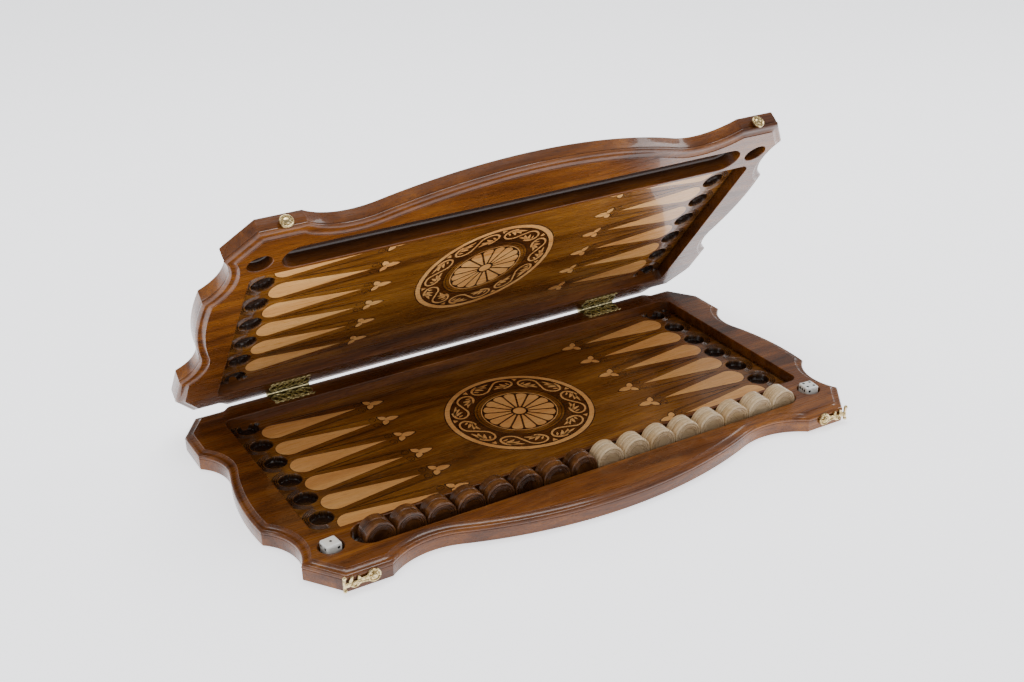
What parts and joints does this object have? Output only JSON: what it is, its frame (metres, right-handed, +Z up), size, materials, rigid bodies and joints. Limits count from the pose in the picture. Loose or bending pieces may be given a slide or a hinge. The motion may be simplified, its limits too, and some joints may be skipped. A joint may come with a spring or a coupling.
{
  "type": "folding backgammon set",
  "caption": "Folding wooden backgammon case with carved, inlaid playing fields, turned checkers, dice, brass hinges and hooks.",
  "frame": {"origin": "middle of the lower playing field, on the flat underside of the lower half", "axes": "+X along the length, +Y towards the hinges, +Z up"},
  "size_m": [0.59, 0.3391, 0.2838],
  "materials": {
    "frame_wood": "gloss lacquer",
    "field_wood": "gloss lacquer",
    "light_inlay": "gloss lacquer",
    "hinge_brass": "satin, pierced",
    "hook_brass": "polished",
    "dark_checker_wood": "satin lacquer",
    "light_checker_wood": "satin lacquer",
    "white_plastic": "gloss"
  },
  "bodies": {
    "lower_case": {"lower_front_rail": "frame_wood", "lower_back_rail": "frame_wood", "lower_left_end": "frame_wood", "lower_right_end": "frame_wood", "lower_field_panel": "field_wood", "lower_point_inlays": "light_inlay", "lower_medallion_inlay": "light_inlay", "hinge_left_lower_leaf": "hinge_brass", "hinge_right_lower_leaf": "hinge_brass", "hinge_left_pin": "hinge_brass", "hinge_right_pin": "hinge_brass", "hinge_screws_lower": "hinge_brass", "hook_pivot_screws": "hook_brass"},
    "lid": {"upper_front_rail": "frame_wood", "upper_back_rail": "frame_wood", "upper_left_end": "frame_wood", "upper_right_end": "frame_wood", "upper_field_panel": "field_wood", "upper_point_inlays": "light_inlay", "upper_medallion_inlay": "light_inlay", "hinge_left_upper_leaf": "hinge_brass", "hinge_right_upper_leaf": "hinge_brass", "hinge_screws_upper": "hinge_brass", "catch_studs": "hook_brass"},
    "hook_left": {"hook_left": "hook_brass"},
    "hook_right": {"hook_right": "hook_brass"},
    "die_left": {"die_left": "white_plastic"},
    "die_right": {"die_right": "white_plastic"},
    "dark_checker_01": {"dark_checker_01": "dark_checker_wood"},
    "dark_checker_02": {"dark_checker_02": "dark_checker_wood"},
    "dark_checker_03": {"dark_checker_03": "dark_checker_wood"},
    "dark_checker_04": {"dark_checker_04": "dark_checker_wood"},
    "dark_checker_05": {"dark_checker_05": "dark_checker_wood"},
    "dark_checker_06": {"dark_checker_06": "dark_checker_wood"},
    "dark_checker_07": {"dark_checker_07": "dark_checker_wood"},
    "dark_checker_08": {"dark_checker_08": "dark_checker_wood"},
    "dark_checker_09": {"dark_checker_09": "dark_checker_wood"},
    "dark_checker_10": {"dark_checker_10": "dark_checker_wood"},
    "dark_checker_11": {"dark_checker_11": "dark_checker_wood"},
    "dark_checker_12": {"dark_checker_12": "dark_checker_wood"},
    "dark_checker_13": {"dark_checker_13": "dark_checker_wood"},
    "dark_checker_14": {"dark_checker_14": "dark_checker_wood"},
    "dark_checker_15": {"dark_checker_15": "dark_checker_wood"},
    "dark_checker_16": {"dark_checker_16": "dark_checker_wood"},
    "light_checker_01": {"light_checker_01": "light_checker_wood"},
    "light_checker_02": {"light_checker_02": "light_checker_wood"},
    "light_checker_03": {"light_checker_03": "light_checker_wood"},
    "light_checker_04": {"light_checker_04": "light_checker_wood"},
    "light_checker_05": {"light_checker_05": "light_checker_wood"},
    "light_checker_06": {"light_checker_06": "light_checker_wood"},
    "light_checker_07": {"light_checker_07": "light_checker_wood"},
    "light_checker_08": {"light_checker_08": "light_checker_wood"},
    "light_checker_09": {"light_checker_09": "light_checker_wood"},
    "light_checker_10": {"light_checker_10": "light_checker_wood"},
    "light_checker_11": {"light_checker_11": "light_checker_wood"},
    "light_checker_12": {"light_checker_12": "light_checker_wood"},
    "light_checker_13": {"light_checker_13": "light_checker_wood"},
    "light_checker_14": {"light_checker_14": "light_checker_wood"},
    "light_checker_15": {"light_checker_15": "light_checker_wood"},
    "light_checker_16": {"light_checker_16": "light_checker_wood"}
  },
  "joints": [
    {"name": "lid_hinge", "type": "hinge", "parent": "lower_case", "child": "lid", "pos_m": [0, 0.1412, 0.0182], "axis": [-1, 0, 0], "range_deg": [-51.4, 128.5]},
    {"name": "hook_left_pivot", "type": "hinge", "parent": "lower_case", "child": "hook_left", "pos_m": [-0.233, -0.1691, 0.01], "axis": [0, -1, 0], "range_deg": [-90, 5]},
    {"name": "hook_right_pivot", "type": "hinge", "parent": "lower_case", "child": "hook_right", "pos_m": [0.233, -0.1691, 0.01], "axis": [0, 1, 0], "range_deg": [-90, 5]},
    {"name": "die_left_lift", "type": "slide", "parent": "lower_case", "child": "die_left", "axis": [0, 0, 1], "range_m": [0, 0.02]},
    {"name": "die_right_lift", "type": "slide", "parent": "lower_case", "child": "die_right", "axis": [0, 0, 1], "range_m": [0, 0.02]},
    {"name": "dark_checker_01_lift", "type": "slide", "parent": "lower_case", "child": "dark_checker_01", "axis": [0, 0, 1], "range_m": [0, 0.032]},
    {"name": "dark_checker_02_lift", "type": "slide", "parent": "lower_case", "child": "dark_checker_02", "axis": [0, 0, 1], "range_m": [0, 0.032]},
    {"name": "dark_checker_03_lift", "type": "slide", "parent": "lower_case", "child": "dark_checker_03", "axis": [0, 0, 1], "range_m": [0, 0.032]},
    {"name": "dark_checker_04_lift", "type": "slide", "parent": "lower_case", "child": "dark_checker_04", "axis": [0, 0, 1], "range_m": [0, 0.032]},
    {"name": "dark_checker_05_lift", "type": "slide", "parent": "lower_case", "child": "dark_checker_05", "axis": [0, 0, 1], "range_m": [0, 0.032]},
    {"name": "dark_checker_06_lift", "type": "slide", "parent": "lower_case", "child": "dark_checker_06", "axis": [0, 0, 1], "range_m": [0, 0.032]},
    {"name": "dark_checker_07_lift", "type": "slide", "parent": "lower_case", "child": "dark_checker_07", "axis": [0, 0, 1], "range_m": [0, 0.032]},
    {"name": "dark_checker_08_lift", "type": "slide", "parent": "lower_case", "child": "dark_checker_08", "axis": [0, 0, 1], "range_m": [0, 0.032]},
    {"name": "dark_checker_09_lift", "type": "slide", "parent": "lower_case", "child": "dark_checker_09", "axis": [0, 0, 1], "range_m": [0, 0.032]},
    {"name": "dark_checker_10_lift", "type": "slide", "parent": "lower_case", "child": "dark_checker_10", "axis": [0, 0, 1], "range_m": [0, 0.032]},
    {"name": "dark_checker_11_lift", "type": "slide", "parent": "lower_case", "child": "dark_checker_11", "axis": [0, 0, 1], "range_m": [0, 0.032]},
    {"name": "dark_checker_12_lift", "type": "slide", "parent": "lower_case", "child": "dark_checker_12", "axis": [0, 0, 1], "range_m": [0, 0.032]},
    {"name": "dark_checker_13_lift", "type": "slide", "parent": "lower_case", "child": "dark_checker_13", "axis": [0, 0, 1], "range_m": [0, 0.032]},
    {"name": "dark_checker_14_lift", "type": "slide", "parent": "lower_case", "child": "dark_checker_14", "axis": [0, 0, 1], "range_m": [0, 0.032]},
    {"name": "dark_checker_15_lift", "type": "slide", "parent": "lower_case", "child": "dark_checker_15", "axis": [0, 0, 1], "range_m": [0, 0.032]},
    {"name": "dark_checker_16_lift", "type": "slide", "parent": "lower_case", "child": "dark_checker_16", "axis": [0, 0, 1], "range_m": [0, 0.032]},
    {"name": "light_checker_01_lift", "type": "slide", "parent": "lower_case", "child": "light_checker_01", "axis": [0, 0, 1], "range_m": [0, 0.032]},
    {"name": "light_checker_02_lift", "type": "slide", "parent": "lower_case", "child": "light_checker_02", "axis": [0, 0, 1], "range_m": [0, 0.032]},
    {"name": "light_checker_03_lift", "type": "slide", "parent": "lower_case", "child": "light_checker_03", "axis": [0, 0, 1], "range_m": [0, 0.032]},
    {"name": "light_checker_04_lift", "type": "slide", "parent": "lower_case", "child": "light_checker_04", "axis": [0, 0, 1], "range_m": [0, 0.032]},
    {"name": "light_checker_05_lift", "type": "slide", "parent": "lower_case", "child": "light_checker_05", "axis": [0, 0, 1], "range_m": [0, 0.032]},
    {"name": "light_checker_06_lift", "type": "slide", "parent": "lower_case", "child": "light_checker_06", "axis": [0, 0, 1], "range_m": [0, 0.032]},
    {"name": "light_checker_07_lift", "type": "slide", "parent": "lower_case", "child": "light_checker_07", "axis": [0, 0, 1], "range_m": [0, 0.032]},
    {"name": "light_checker_08_lift", "type": "slide", "parent": "lower_case", "child": "light_checker_08", "axis": [0, 0, 1], "range_m": [0, 0.032]},
    {"name": "light_checker_09_lift", "type": "slide", "parent": "lower_case", "child": "light_checker_09", "axis": [0, 0, 1], "range_m": [0, 0.032]},
    {"name": "light_checker_10_lift", "type": "slide", "parent": "lower_case", "child": "light_checker_10", "axis": [0, 0, 1], "range_m": [0, 0.032]},
    {"name": "light_checker_11_lift", "type": "slide", "parent": "lower_case", "child": "light_checker_11", "axis": [0, 0, 1], "range_m": [0, 0.032]},
    {"name": "light_checker_12_lift", "type": "slide", "parent": "lower_case", "child": "light_checker_12", "axis": [0, 0, 1], "range_m": [0, 0.032]},
    {"name": "light_checker_13_lift", "type": "slide", "parent": "lower_case", "child": "light_checker_13", "axis": [0, 0, 1], "range_m": [0, 0.032]},
    {"name": "light_checker_14_lift", "type": "slide", "parent": "lower_case", "child": "light_checker_14", "axis": [0, 0, 1], "range_m": [0, 0.032]},
    {"name": "light_checker_15_lift", "type": "slide", "parent": "lower_case", "child": "light_checker_15", "axis": [0, 0, 1], "range_m": [0, 0.032]},
    {"name": "light_checker_16_lift", "type": "slide", "parent": "lower_case", "child": "light_checker_16", "axis": [0, 0, 1], "range_m": [0, 0.032]}
  ]
}
